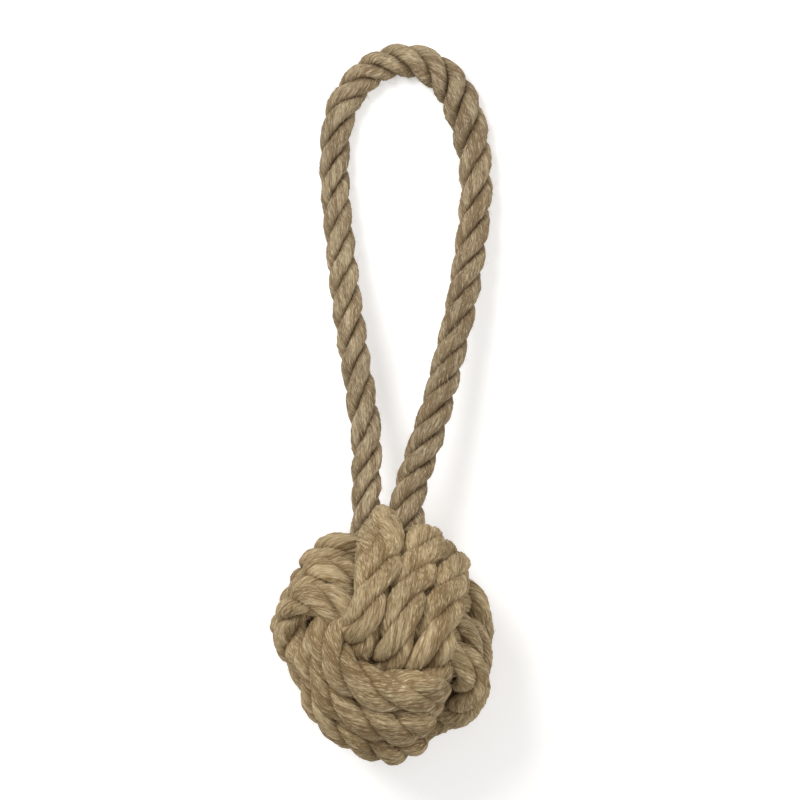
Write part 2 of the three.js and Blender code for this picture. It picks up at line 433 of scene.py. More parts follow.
def softened(line, reach):
    """An evenly stepped line with its corners rounded off over reach steps, and its ends kept."""
    half = round(3 * reach)
    weights = np.exp(-0.5 * (np.arange(-half, half + 1) / reach) ** 2)
    weights /= weights.sum()
    before = 2 * line[0] - line[half:0:-1]
    after = 2 * line[-1] - line[-2 : -half - 2 : -1]
    padded = np.concatenate((before, line, after))
    return np.stack([np.convolve(column, weights, "valid") for column in padded.T], axis=1)


def spline(points, steps):
    """A centripetal Catmull-Rom curve through the points, as the frame's handle follows."""
    full = np.concatenate(((2 * points[0] - points[1],), points, (2 * points[-1] - points[-2],)))
    curve = []
    for p0, p1, p2, p3 in zip(full, full[1:], full[2:], full[3:]):
        t0, t1 = 0.0, math.sqrt(np.linalg.norm(p1 - p0))
        t2 = t1 + math.sqrt(np.linalg.norm(p2 - p1))
        t3 = t2 + math.sqrt(np.linalg.norm(p3 - p2))
        t = np.linspace(t1, t2, steps, endpoint=False)[:, None]
        a1 = (t1 - t) / (t1 - t0) * p0 + (t - t0) / (t1 - t0) * p1
        a2 = (t2 - t) / (t2 - t1) * p1 + (t - t1) / (t2 - t1) * p2
        a3 = (t3 - t) / (t3 - t2) * p2 + (t - t2) / (t3 - t2) * p3
        b1 = (t2 - t) / (t2 - t0) * a1 + (t - t0) / (t2 - t0) * a2
        b2 = (t3 - t) / (t3 - t1) * a2 + (t - t1) / (t3 - t1) * a3
        curve.append((t2 - t) / (t2 - t1) * b1 + (t - t1) / (t2 - t1) * b2)
    return np.concatenate((*curve, points[-1:]))


def bezier(p0, p1, p2, p3, steps):
    """A cubic Bezier curve from the first point to the last."""
    t = np.linspace(0, 1, steps)[:, None]
    return (1 - t) ** 3 * p0 + 3 * t * (1 - t) ** 2 * p1 + 3 * t**2 * (1 - t) * p2 + t**3 * p3


def wavering(rng, along, wave, amount):
    """A smooth random drift along the rope: its usual wave is that long and its size that much."""
    drift = np.zeros(len(along))
    for share in WAVE_SHARES:
        drift += np.sin(2 * math.pi * (along / (wave * share) + rng.random()))
    return drift * amount / 2


def nearness(points, place, reach):
    """1 at the place, less the farther the points are from it."""
    far = np.linalg.norm(points - np.array(place), axis=1) / reach
    return np.exp(-(far**2) / 2)


def draw_up(lattice):
    """Takes points of the square lattice, as right, up and front, to the round knot."""
    lattice = np.atleast_2d(lattice)
    squareness = (lattice**4).sum(1) / (lattice**2).sum(1) ** 2
    drawn = lattice * (1 - ROUNDING_SHARE * (1 - squareness))[:, None]
    point = drawn @ np.array((RIGHT, UP, FRONT))
    size = np.linalg.norm(point, axis=1)
    away = np.linalg.norm(point / size[:, None] - NECK, axis=1) / NECK_SPREAD_SHARE
    depth = np.minimum(size / FACE, 1)
    pull = NECK_PULL * np.exp(-(away**2)) * depth
    drawn = point * (WIDTH_SHARE, HEIGHT_SHARE, 1) + pull[:, None] * (0, 1, 0)
    for place, reach, move in PULLS:
        held = nearness(point * FACE / size[:, None], unit(np.array(place)) * FACE, reach) * depth
        drawn = drawn + held[:, None] * move
    return drawn


def coil_stations(start, linked, tucked):
    """One coil as (out, along, side) places on the lattice, as the frame's coils run."""
    places = []

    def arc(turned, out, along, side):
        for step in range(1, EDGE_STEPS + 1):
            angle = turned + math.pi / 2 * step / EDGE_STEPS
            places.append((out + LAYER * math.cos(angle), along + LAYER * math.sin(angle), side))

    def run_inside(start_out, along, side, next_side, late):
        for step in range(1, PASSAGE_STEPS + 1):
            share = step / PASSAGE_STEPS
            moved = smooth((share - late) / SHIFT_LENGTH_SHARE)
            places.append((start_out * (1 - 2 * share), along, side + (next_side - side) * moved))

    if linked:
        for ahead, out, across in LINK_SHARES:
            places.append((LANE + ahead * (FACE - LANE), -across * LANE, LANE + out * (FACE - LANE)))
    places.append((FACE, start, LANE))
    for turn in range(TURNS):
        side = LANE * (1 - turn)
        if turn:
            places.append((FACE, 0, side))
        places.append((FACE, LANE, side))
        arc(0, PASSAGE, LANE, side)
        run_inside(PASSAGE, PASSAGE, side, side, 0)
        arc(math.pi / 2, -PASSAGE, LANE, side)
        places.append((-FACE, 0, side))
        places.append((-FACE, -LANE, side))
        if turn < TURNS - 1:
            late = 0 if turn else FIRST_SHIFT_SHARE
            arc(math.pi, -PASSAGE, -LANE, side)
            run_inside(-PASSAGE, -PASSAGE, side, side - LANE, late)
            arc(1.5 * math.pi, PASSAGE, -LANE, side - LANE)
        elif tucked:
            arc(math.pi, -PASSAGE, -LANE, side)
            places.append((TUCKED_DEPTH - PASSAGE, -PASSAGE, side))
    return np.array(places)


def crowd_corners(lattice):
    """Takes the rope's line in the lattice towards the nearby corners of the knot, and tells
    how near to one each point was, up to 1."""
    crowded = lattice.copy()
    nearest = np.zeros(len(lattice))
    for diagonal in ((1, 1, 1), (1, 1, -1), (1, -1, 1), (-1, 1, 1)):
        corner = np.array(diagonal) / math.sqrt(3)
        aside = (lattice @ corner)[:, None] * corner - lattice
        near = np.exp(-(aside**2).sum(1) / CORNER_REACH**2)
        crowded += aside * CORNER_PULL_SHARE * near[:, None]
        nearest += near
    return crowded, nearest


class Rope(namedtuple("Rope", "centre out across thick wide along turned squeezed shut spread")):
    """A stretch of rope in millimetres: its centre line, the way out of the knot and the way
    across at each point, its half sizes those two ways, how far along the rope it is, how far
    its strands have turned there, the shares to which it is squeezed in the knot and its
    grooves are shut, and how widely the strand that faces outward is spread."""

    def rows(self, first, last, step):
        """The stretch between two lengths along the rope, in rows that far apart, or farther
        where it runs deep in the knot."""
        deep = np.linalg.norm(self.centre - knot_centre(), axis=1) < DEEP_MM
        weight = np.where(deep, DEEP_ROW_SHARE, 1.0)
        gone = np.concatenate(((0,), np.cumsum(np.diff(self.along) * weight[1:])))
        ends = np.interp((first, last), self.along, gone)
        wanted = np.linspace(*ends, round((ends[1] - ends[0]) / step) + 1)
        count = np.arange(len(gone))
        places = np.interp(wanted, gone, count)
        centre, out, across = (picked(vectors, places) for vectors in self[:3])
        numbers = (np.interp(places, count, values) for values in self[3:])
        return Rope(centre, unit(out), unit(across), *numbers)


def knot_rope(sizes):
    """The rope through the three coils, finely stepped, and the lengths where the coils begin."""
    directions = np.array(((0, 1, 0), (1, 0, 0), (0, 0, 1)), float)
    stretches = []
    for start, linked, tucked in ((RIGHT_JOIN, False, False), (0, True, False), (0, True, True)):
        stretches.append(coil_stations(start, linked, tucked) @ directions)
        out, along, side = directions
        directions = np.array((-along, side, -out))
    lattice = softened(evenly(np.concatenate(stretches), LINE_STEP), KNOT_SOFTENING)
    lattice, cornered = crowd_corners(lattice)
    ahead = unit(np.gradient(lattice, axis=0))
    outward = unit(lattice - (lattice * ahead).sum(1, keepdims=True) * ahead)
    sideways = np.cross(ahead, outward)
    half = PACKED_THICKNESS / 2
    out = (draw_up(lattice + outward * half) - draw_up(lattice - outward * half)) / (2 * half)
    across = (draw_up(lattice + sideways * half) - draw_up(lattice - sideways * half)) / (2 * half)
    thick = np.linalg.norm(out, axis=1) * sizes.packed_thickness / MM / 2
    wide = np.linalg.norm(across, axis=1) * sizes.packed_width / MM / 2
    line = draw_up(lattice)
    wide *= 1 + CORNER_SPREAD_SHARE * cornered
    for place, reach, share in SPREADS:
        wide *= 1 + (share - 1) * nearness(line, place, reach)
    shut = sum(share * nearness(line, place, reach) for place, reach, share in SHUT)
    spread = np.ones(len(line))
    for place, reach, share in BUNCHES:
        spread *= 1 + (share - 1) * nearness(line, place, reach)
    for place, reach, lean in LEANS:
        out = out + nearness(line, place, reach)[:, None] * lean
    firsts = [draw_up(stretch[:1]) for stretch in stretches[1:]]
    starts = [int(np.argmin(np.linalg.norm(line - first, axis=1))) for first in firsts]
    ahead = unit(np.gradient(line, axis=0))
    out = unit(out - (out * ahead).sum(1, keepdims=True) * ahead)
    along = length_along(line)
    turned = turns_along(along, packed_lay(line, sizes)) + sizes.lay_start
    turned += np.interp(along, KNOT_TWIST_AT, KNOT_TWIST)
    across = np.cross(ahead, out)
    squeezed = np.ones(len(line))
    line = line + knot_centre()
    rope = Rope(line, out, across, thick, wide, along, turned, squeezed, shut, spread)
    return rope, [along[i] for i in starts]


def packed_lay(line, sizes):
    """The lay length in millimetres along the rope's line in the knot."""
    lay = np.full(len(line), sizes.packed_lay / MM)
    for place, reach, share in LAYS:
        lay *= 1 + (share - 1) * nearness(line, place, reach)
    return lay


def turns_along(along, lay):
    """How far the strands have turned by each length along the rope, in radians."""
    rate = 2 * math.pi / lay
    return np.concatenate(((0,), np.cumsum((rate[1:] + rate[:-1]) / 2 * np.diff(along))))


def handle_points(centre):
    """The handle's own route in millimetres of the frame, from leg to leg."""
    slope = (FAR_END_HEIGHT - centre[2] + BEND_BELOW) / (FAR_END_FORWARD - BEND_FORWARD)
    places = ((LEFT_LEG_SIDE, BEND_FORWARD), *HANDLE_ROUTE, (RIGHT_LEG_SIDE, BEND_FORWARD))
    lowest = FAR_END_HEIGHT - centre[2]
    heights = [max(slope * (y - BEND_FORWARD) - BEND_BELOW, lowest) for x, y in places]
    return np.array([(x, y, z) for (x, y), z in zip(places, heights)]) + centre


def handle_rope(knot, sizes):
    """The rope from the left tuck round the handle to the join with the first coil."""
    centre = knot_centre()
    tuck = [(-PASSAGE, PASSAGE, LANE), (-PASSAGE, PASSAGE - LEFT_TUCK, LANE)]
    edge, foot = draw_up(tuck) + centre
    route = handle_points(centre)
    join = knot.centre[0]
    heading = unit(knot.centre[HEADING_STEPS] - join)
    back = np.array((0, 1, 0))
    closing = np.array((ROOT_CLOSING, 0, 0))
    reach = np.linalg.norm(route[0] - foot)
    leg = route[0] - back * reach * LEFT_ROOT_SHARE + closing
    entry = foot - unit(foot - edge) * reach * LEFT_FOOT_SHARE
    left = bezier(route[0], leg, entry, foot, ROOT_STEPS)
    hold = np.linalg.norm(route[-1] - join) * ROOT_HEADING_SHARE
    leg = route[-1] - back * hold - closing
    right = bezier(route[-1], leg, join - heading * hold, join, ROOT_STEPS)
    line = np.concatenate((left[:0:-1], spline(route, STRETCH_STEPS), right[1:]))
    line = evenly(line, LINE_STEP)
    shares = 1 - length_along(line) / length_along(line)[-1]
    aside = np.cross((0, 0, 1), unit(np.gradient(line, axis=0)))
    aside *= np.interp(shares, HANDLE_ASIDE_AT, HANDLE_ASIDE)[:, None]
    line = softened(line + aside, HANDLE_SOFTENING)
    along = length_along(line) - length_along(line)[-1]
    ahead = unit(np.gradient(line, axis=0))
    out = np.empty_like(line)
    out[-1] = unit(knot.out[0] - (knot.out[0] @ ahead[-1]) * ahead[-1])
    for i in range(len(line) - 2, -1, -1):
        out[i] = unit(out[i + 1] - (out[i + 1] @ ahead[i]) * ahead[i])
    near = smooth(1 + along / ROOT_LENGTH)
    tucked = np.maximum(near, smooth((along[0] + ROOT_LENGTH - along) / ROOT_LENGTH))
    free = sizes.rope_diameter / MM / 2
    free = free * np.interp(along / along[0], HANDLE_GIRTH_AT, HANDLE_GIRTH)
    thick = mixed(free, knot.thick[0], near)
    wide = mixed(free, knot.wide[0], near)
    lay = mixed(sizes.lay_length / MM, packed_lay(line - centre, sizes), tucked)
    turned = turns_along(along, lay)
    twist = np.interp(along / along[0], HANDLE_TWIST_AT, HANDLE_TWIST)
    turned += knot.turned[0] - turned[-1] + twist
    across = np.cross(ahead, out)
    shut, spread = np.zeros(len(line)), np.ones(len(line))
    return Rope(line, out, across, thick, wide, along, turned, near, shut, spread)


def lay_strands(rope, sizes):
    """The skin of the rope's three strands: places and outward ways, by strand, row and column.
    Every piece starts from the same seed, so that its strands go on from piece to piece."""
    rng = np.random.default_rng(ROPE_SEED)
    rough = np.random.default_rng(ROPE_SEED + 1)
    turned = rope.turned + wavering(rng, rope.along, *ROPE_TURN_DRIFT)
    strand_share = mixed(FREE_STRAND_SHARE, SQUEEZED_STRAND_SHARE, rope.squeezed)
    offset = 1 - strand_share
    turn = math.pi / STRANDS
    bottom = offset * math.cos(turn) + np.sqrt(strand_share**2 - (offset * math.sin(turn)) ** 2)
    groove = (1 - bottom)[:, None]
    open_share = GROOVE_SHARE * (1 - rope.shut[:, None])
    power = mixed(ELLIPSE_POWER, BOX_POWER, rope.squeezed)[:, None]
    columns = 2 * math.pi * np.arange(COLUMNS) / COLUMNS
    yarn_height = np.tile(YARN_PROFILE, YARNS) * sizes.yarn_depth / MM
    profile = len(YARN_PROFILE)
    places, ways = [], []
    for strand in range(STRANDS):
        plump = strand_share * (1 + wavering(rng, rope.along, *STRAND_GIRTH_DRIFT))
        middle = turned + 2 * math.pi * strand / STRANDS
        middle = middle + wavering(rng, rope.along, *STRAND_TURN_DRIFT)
        angle = middle[:, None] + columns[None, :] - YARN_TURN_SHARE * turned[:, None]
        lumps, depths = [], []
        for _ in range(YARNS):
            lumps.append(sum(wavering(rng, rope.along, *drift) for drift in YARN_LUMP_DRIFTS))
        for _ in range(YARNS):
            depths.append(1 + wavering(rng, rope.along, *YARN_DEPTH_DRIFT))
        lumps = np.repeat(np.stack(lumps, axis=1), profile, axis=1)
        depths = np.repeat(np.stack(depths, axis=1), profile, axis=1)
        ridge = lumps + yarn_height[None, :] * depths
        ridge += rough.normal(0, ROUGHNESS_MM, ridge.shape)
        ridge /= sizes.rope_diameter / MM / 2
        outs = (offset * np.cos(middle))[:, None] + plump[:, None] * np.cos(angle)
        across = (offset * np.sin(middle))[:, None] + plump[:, None] * np.sin(angle)
        reach = np.hypot(outs, across)
        sunk = np.clip((1 - reach) / groove, 0, 1)
        pressed = 1 - groove * open_share * sunk ** (1 + FLATNESS)
        inner = reach + groove * (1 - open_share)
        grown = np.where(sunk > 0, np.where(sunk < 1, pressed, inner), reach)
        across = across * rope.spread[:, None]
        size = np.hypot(outs, across)
        outs, across = outs / size, across / size
        box = np.abs(outs / rope.thick[:, None]) ** power
        box = (box + np.abs(across / rope.wide[:, None]) ** power) ** (-1 / power)
        outs = box * (outs * grown + ridge * np.cos(angle))
        across = box * (across * grown + ridge * np.sin(angle))
        place = rope.centre[:, None, :] + outs[:, :, None] * rope.out[:, None, :]
        place = place + across[:, :, None] * rope.across[:, None, :]
        way = np.cos(angle)[:, :, None] * rope.out[:, None, :]
        way = way + np.sin(angle)[:, :, None] * rope.across[:, None, :]
        places.append(place)
        ways.append(way)
    return np.array(places), np.array(ways)


def on_table(points):
    """Presses what would lie below the table flat against it."""
    points[..., 2] = np.maximum(points[..., 2], TABLE_CLEARANCE)
    return points


def tube_faces(tubes, rows, columns):
    """Quads and end caps of closed tubes whose vertices run column by column, row by row."""
    row = np.arange(rows - 1)[:, None] * columns
    column = np.arange(columns)[None, :]
    beside = (column + 1) % columns
    one = np.stack((row + column, row + beside, row + columns + beside, row + columns + column), axis=2)
    one = one.reshape(-1, 4)
    faces = []
    for tube in range(tubes):
        first = tube * rows * columns
        faces.extend((one + first).tolist())
        faces.append(list(range(first + columns - 1, first - 1, -1)))
        last = first + (rows - 1) * columns
        faces.append(list(range(last, last + columns)))
    return faces


def add_piece(name, points, faces, material, numbers=(), vectors=()):
    """A smooth mesh piece from millimetre points, with named values and vectors on its points.
    The rims of a rope's cut ends stay sharp."""
    mesh = bpy.data.meshes.new(name)
    mesh.from_pydata((points.reshape(-1, 3) * MM).tolist(), [], faces)
    for title, values in numbers:
        mesh.attributes.new(title, "FLOAT", "POINT").data.foreach_set("value", np.float32(values).ravel())
    for title, values in vectors:
        own = mesh.attributes.new(title, "FLOAT_VECTOR", "POINT")
        own.data.foreach_set("vector", np.float32(values).ravel())
    mesh.materials.append(material)
    mesh.shade_smooth()
    caps = np.array([edge for face in faces if len(face) > 4 for edge in zip(face, face[1:] + face[:1])])
    if len(caps):
        ends = np.empty(len(mesh.edges) * 2, int)
        mesh.edges.foreach_get("vertices", ends)
        ends = np.sort(ends.reshape(-1, 2), axis=1)
        rims = np.sort(caps, axis=1)
        total = len(mesh.vertices)
        on_rim = np.isin(ends[:, 0] * total + ends[:, 1], rims[:, 0] * total + rims[:, 1])
        mesh.attributes.new("sharp_edge", "BOOLEAN", "EDGE").data.foreach_set("value", on_rim)
    piece = bpy.data.objects.new(name, mesh)
    bpy.context.scene.collection.objects.link(piece)
    return piece


def rope_piece(name, rope, sizes, material, shade=0, faded=0):
    """A closed mesh of the rope's strands, with the numbers that its material is drawn by. The
    shade makes all the yarns paler or darker, row by row, and a faded rope is greyer."""
    places, ways = lay_strands(rope, sizes)
    rng = np.random.default_rng(ROPE_SEED + 2)
    strands, rows, columns = places.shape[:3]
    tone = np.empty((strands, rows, columns))
    way = np.empty((strands, rows, columns, 3))
    around = 2 * math.pi * np.arange(columns) / columns
    strand_radius = FREE_STRAND_SHARE * sizes.rope_diameter / MM / 2
    for strand in range(strands):
        drift = np.stack([wavering(rng, rope.along, *YARN_TONE_DRIFT) for _ in range(YARNS)], axis=1)
        drift += rng.uniform(*YARN_TONES, YARNS)[None, :]
        tone[strand] = np.repeat(drift, columns // YARNS, axis=1)
        way[strand, :, :, 0] = strand_radius * np.cos(around) + STRAND_APART_MM * strand
        way[strand, :, :, 1] = strand_radius * np.sin(around)
        way[strand, :, :, 2] = rope.along[:, None]
    away = places - rope.centre[None, :, None, :]
    half = (rope.thick + rope.wide) / 2
    height = np.linalg.norm(away, axis=3) / half[None, :, None]
    faces = tube_faces(strands, rows, columns)
    tone = np.clip(tone, 0, 1) + np.reshape(shade, (1, -1, 1))
    values = (("yarn_tone", tone), ("height", height), ("faded", np.full(tone.shape, faded)))
    piece = add_piece(name, on_table(places), faces, material, values, (("fibre_way", way),))
    return piece, places, ways


def fuzz_piece(name, skins, fibres, sizes, seed, material):
    """Loose fibres standing off the yarns: thin closed threads rooted all over the skins given."""
    rng = np.random.default_rng(seed)
    roots, outs, alongs = [], [], []
    total = sum(places.shape[1] for places, ways in skins)
    for places, ways in skins:
        strands, rows, columns = places.shape[:3]
        many = round(fibres * rows / total)
        strand = rng.integers(0, strands, many)
        row = rng.integers(1, rows - 1, many)
        column = rng.integers(0, columns, many)
        outs.append(ways[strand, row, column])
        roots.append(places[strand, row, column])
        alongs.append(unit(places[strand, row + 1, column] - places[strand, row - 1, column]))
    root, out, along = np.concatenate(roots), np.concatenate(outs), np.concatenate(alongs)
    many = len(root)
    along = along * rng.choice((-1, 1), many)[:, None]
    reach = sizes.fibre_length / MM * rng.gamma(*FIBRE_SPREAD, many)[:, None]
    lift = rng.uniform(*FIBRE_LIFTS, many)[:, None]
    foot = root - out * FIBRE_ROOT_MM
    bends = []
    for onward, off, astray in (FIBRE_MIDDLE, FIBRE_TIP):
        bend = root + along * reach * onward + out * reach * off * lift
        bends.append(bend + rng.normal(0, astray, (many, 3)) * reach)
    middle, tip = bends
    t = np.linspace(0, 1, FIBRE_RINGS)[None, :, None]
    line = (1 - t) ** 2 * foot[:, None] + 2 * t * (1 - t) * middle[:, None] + t**2 * tip[:, None]
    ahead = unit(np.gradient(line, axis=1))
    one = unit(np.cross(ahead, rng.normal(0, 1, (many, 1, 3))))
    two = np.cross(ahead, one)
    radius = rng.uniform(*FIBRE_RADII_MM, many)[:, None, None] * (1 - FIBRE_TAPER_SHARE * t)
    corners = []
    for corner in range(FIBRE_SIDES):
        turn = 2 * math.pi * corner / FIBRE_SIDES
        corners.append(line + radius * (one * math.cos(turn) + two * math.sin(turn)))
    points = np.stack(corners, axis=2)
    tone = np.repeat(rng.random(many), FIBRE_RINGS * FIBRE_SIDES)
    faces = tube_faces(many, FIBRE_RINGS, FIBRE_SIDES)
    return add_piece(name, on_table(points), faces, material, (("yarn_tone", tone),))


def linear(code):
    """An sRGB hex colour as linear red, green and blue."""
    parts = [int(code[i : i + 2], 16) / 255 for i in (1, 3, 5)]
    return [p / 12.92 if p <= 0.04045 else ((p + 0.055) / 1.055) ** 2.4 for p in parts]


def add_node(tree, kind, settings, links=()):
    """Adds a node. A setting is a property of the node, or else the value of an input; a link
    is an input and the output that feeds it."""
    node = tree.nodes.new(kind)
    for key, value in settings.items():
        if isinstance(key, str) and key in node.bl_rna.properties:
            setattr(node, key, value)
        else:
            node.inputs[key].default_value = value
    for key, source in links:
        tree.links.new(source, node.inputs[key])
    return node


def new_material(name):
    material = bpy.data.materials.new(name)
    material.use_nodes = True
    material.node_tree.nodes.clear()
    return material, material.node_tree


def jute_rope_material(colours):
    """Jute rope, spun and laid: dull golden tan with a faint dry sheen. Each yarn has its own
    tan, single fibres catch the light as pale streaks, and the grooves between strands are
    painted brown as shade."""
    material, tree = new_material("jute_spun_and_laid")
    own = []
    for name in ("fibre_way", "yarn_tone", "height", "faded"):
        own.append(add_node(tree, "ShaderNodeAttribute", {"attribute_name": name}).outputs)
    way, tone, height, faded = own[0]["Vector"], *(outputs["Fac"] for outputs in own[1:])
    scales = (1 / FIBRE_WIDTH_MM, 1 / FIBRE_WIDTH_MM, 1 / FIBRE_LENGTH_MM)
    drawn = {"operation": "MULTIPLY", 1: scales}
    drawn = add_node(tree, "ShaderNodeVectorMath", drawn, ((0, way),)).outputs[0]
    noise = {"Scale": 1.0, "Detail": 3.0, "Roughness": 0.6}
    fibres = add_node(tree, "ShaderNodeTexNoise", noise, (("Vector", drawn),)).outputs["Fac"]
    place = add_node(tree, "ShaderNodeTexCoord", {}).outputs["Object"]
    noise = {"Scale": 1 / (PATCH_MM * MM), "Detail": 2.0, "Roughness": 0.5}
    patches = add_node(tree, "ShaderNodeTexNoise", noise, (("Vector", place),)).outputs["Fac"]

    spans = []
    sources = (fibres, fibres, height, patches, fibres)
    for source, span in zip(sources, (STREAKS, GLINTS, PAINTED_GROOVE_SHADE, WEAR, ROUGHNESS)):
        span = add_node(tree, "ShaderNodeMapRange", dict(zip(SPAN, span)), (("Value", source),))
        spans.append(span.outputs[0])
    streak, glint, groove_shade, worn, rough = spans
    shade = add_node(tree, "ShaderNodeMath", {"operation": "ADD"}, ((0, tone), (1, streak))).outputs[0]
    mix = {"data_type": "RGBA", MIX_A: (*colours.dark_yarn, 1), MIX_B: (*colours.light_yarn, 1)}
    yarn = add_node(tree, "ShaderNodeMix", mix, ((0, shade),)).outputs[MIX_RESULT]
    # The pale fibre streaks go in, then the groove colour as painted shade where the skin lies low
    for share, shown in ((glint, colours.pale_fibre), (groove_shade, colours.groove)):
        mix = {"data_type": "RGBA", MIX_B: (*shown, 1)}
        links = ((0, share), (MIX_A, yarn))
        yarn = add_node(tree, "ShaderNodeMix", mix, links).outputs[MIX_RESULT]
    links = ((0, yarn), ("Scale", worn))
    yarn = add_node(tree, "ShaderNodeVectorMath", {"operation": "SCALE"}, links).outputs[0]
    left = add_node(tree, "ShaderNodeMath", {"operation": "SUBTRACT", 0: 1.0}, ((1, faded),)).outputs[0]
    links = (("Saturation", left), ("Color", yarn))
    yarn = add_node(tree, "ShaderNodeHueSaturation", {}, links).outputs[0]

    bump = {"Strength": 1.0, "Distance": 0.4 * MM}
    bump = add_node(tree, "ShaderNodeBump", bump, (("Height", fibres),)).outputs[0]
    finish = {"IOR": 1.5, "Specular IOR Level": 0.25, "Sheen Weight": 0.12, "Sheen Roughness": 0.6}
    finish["Sheen Tint"] = (*colours.pale_fibre, 1)
    links = (("Base Color", yarn), ("Roughness", rough), ("Normal", bump))
    skin = add_node(tree, "ShaderNodeBsdfPrincipled", finish, links)
    add_node(tree, "ShaderNodeOutputMaterial", {}, (("Surface", skin.outputs[0]),))
    return material


def loose_fibre_material(colours):
    """Loose jute fibres: single hairs, paler than the yarn because light comes through them."""
    material, tree = new_material("jute_loose_fibre")
    tone = add_node(tree, "ShaderNodeAttribute", {"attribute_name": "yarn_tone"}).outputs["Fac"]
    mix = {"data_type": "RGBA", MIX_A: (*colours.light_yarn, 1), MIX_B: (*colours.pale_fibre, 1)}
    hair = add_node(tree, "ShaderNodeMix", mix, ((0, tone),)).outputs[MIX_RESULT]
    finish = {"Roughness": 0.8, "IOR": 1.5, "Specular IOR Level": 0.25}
    skin = add_node(tree, "ShaderNodeBsdfPrincipled", finish, (("Base Color", hair),))
    add_node(tree, "ShaderNodeOutputMaterial", {}, (("Surface", skin.outputs[0]),))
    return material


def beech_material():
    """Beech, turned and left bare: a pale even wood with faint darker rings."""
    material, tree = new_material("beech_turned_bare")
    place = add_node(tree, "ShaderNodeTexCoord", {}).outputs["Object"]
    wave = {"Scale": WAVE_REPEAT / (RING_MM * MM), "Distortion": 2.0, "Detail": 2.0, "wave_type": "RINGS"}
    rings = add_node(tree, "ShaderNodeTexWave", wave, (("Vector", place),)).outputs["Fac"]
    mix = {"data_type": "RGBA", MIX_A: (*linear("#B98F5E"), 1), MIX_B: (*linear("#CFAA7B"), 1)}
    wood = add_node(tree, "ShaderNodeMix", mix, ((0, rings),)).outputs[MIX_RESULT]
    bump = {"Strength": 0.2, "Distance": 0.1 * MM}
    bump = add_node(tree, "ShaderNodeBump", bump, (("Height", rings),)).outputs[0]
    finish = {"Roughness": 0.65, "IOR": 1.5}
    links = (("Base Color", wood), ("Normal", bump))
    skin = add_node(tree, "ShaderNodeBsdfPrincipled", finish, links)
    add_node(tree, "ShaderNodeOutputMaterial", {}, (("Surface", skin.outputs[0]),))
    return material


def backdrop_rays(tree):
    """1 on the rays that show the background, straight or in something glossy or clear."""
    rays = add_node(tree, "ShaderNodeLightPath", {}).outputs
    seen = rays["Is Camera Ray"]
    for kind in ("Is Glossy Ray", "Is Transmission Ray"):
        links = ((0, seen), (1, rays[kind]))
        seen = add_node(tree, "ShaderNodeMath", {"operation": "MAXIMUM"}, links).outputs[0]
    return seen


def paper_material(glow):
    """White background paper, matt: a glow that lights nothing else takes it up to white."""
    material, tree = new_material("paper_matt_white")
    seen = {"operation": "MULTIPLY", 1: glow}
    seen = add_node(tree, "ShaderNodeMath", seen, ((0, backdrop_rays(tree)),)).outputs[0]
    finish = {"Base Color": (*linear("#F4F3F1"), 1), "Roughness": 0.95, "Emission Color": (1, 1, 1, 1)}
    skin = add_node(tree, "ShaderNodeBsdfPrincipled", finish, (("Emission Strength", seen),))
    add_node(tree, "ShaderNodeOutputMaterial", {}, (("Surface", skin.outputs[0]),))
    return material


def kept_material(name, make, *arguments):
    """The material of that name, made once."""
    return bpy.data.materials.get(name) or make(*arguments)


def rope_materials(colours):
    """The materials of the laid rope and of its loose fibres."""
    jute = kept_material("jute_spun_and_laid", jute_rope_material, colours)
    return jute, kept_material("jute_loose_fibre", loose_fibre_material, colours)


def number(title, about, default, **more):
    return bpy.props.FloatProperty(name=title, description=about, default=default, **more)


def metres(title, about, default):
    return number(title, about, default, unit="LENGTH", precision=5)


def watts(title, about, default):
    return number(title, about, default, unit="POWER")


def whole_number(title, about, default):
    return bpy.props.IntProperty(name=title, description=about, default=default)


def colour(title, about, code):
    return bpy.props.FloatVectorProperty(
        name=title, description=about, default=linear(code), subtype="COLOR", size=3, min=0, max=1
    )


class RopeToySizes(bpy.types.PropertyGroup):
    """How thick the rope is and how it is laid"""

    rope_diameter: metres("Rope diameter", "Across the crests of the strands in the handle", 0.014)
    lay_length: metres("Lay length", "Along the rope for one whole turn of a strand", 0.0372)
    yarn_depth: metres("Yarn depth", "How deep the grooves between yarns are", 0.0004)
    packed_thickness: metres("Packed thickness", "The rope's thickness, drawn tight in the knot", 0.0142)
    packed_width: metres("Packed width", "The rope's width, drawn tight in the knot", 0.0168)
    packed_lay: metres("Packed lay length", "Lay length in the knot, where the lay has opened", 0.041)
    row_step: metres("Row step", "Between two rows of points along the rope", 0.001)
    fibre_length: metres("Loose fibre length", "Usual length of the loose fibres", 0.0024)
    lay_start: number("Lay start", "Turn of the strands at the first coil", 0.0, subtype="ANGLE")
    handle_fibres: whole_number("Handle fibres", "Loose fibres on the handle", 5000)
    knot_fibres: whole_number("Knot fibres", "Loose fibres on the knot", 9500)


class RopeToyColours(bpy.types.PropertyGroup):
    """The colours of the jute"""

    light_yarn: colour("Light yarn", "The palest yarns", "#C9B38B")
    dark_yarn: colour("Dark yarn", "The darkest yarns", "#886F4B")
    pale_fibre: colour("Pale fibre", "Single fibres that catch the light", "#E6D5B0")
    # The groove colour is painted shade, put into the low skin between the strands
    groove: colour("Groove", "Deep between the strands", "#6F5530")


class RopeToyStage(bpy.types.PropertyGroup):
    """The lamps and the floor"""

    key_power: watts("Key lamp", "The soft lamp's watts", 20.0)
    fill_power: watts("Fill lamp", "The weak lamp's watts", 7.5)
    top_power: watts("Top lamp", "The watts of the lamp above", 5.0)
    sky: number("Sky", "Light from all round", 0.4)
    floor_glow: number("Floor glow", "Takes the floor up to white", 0.34)


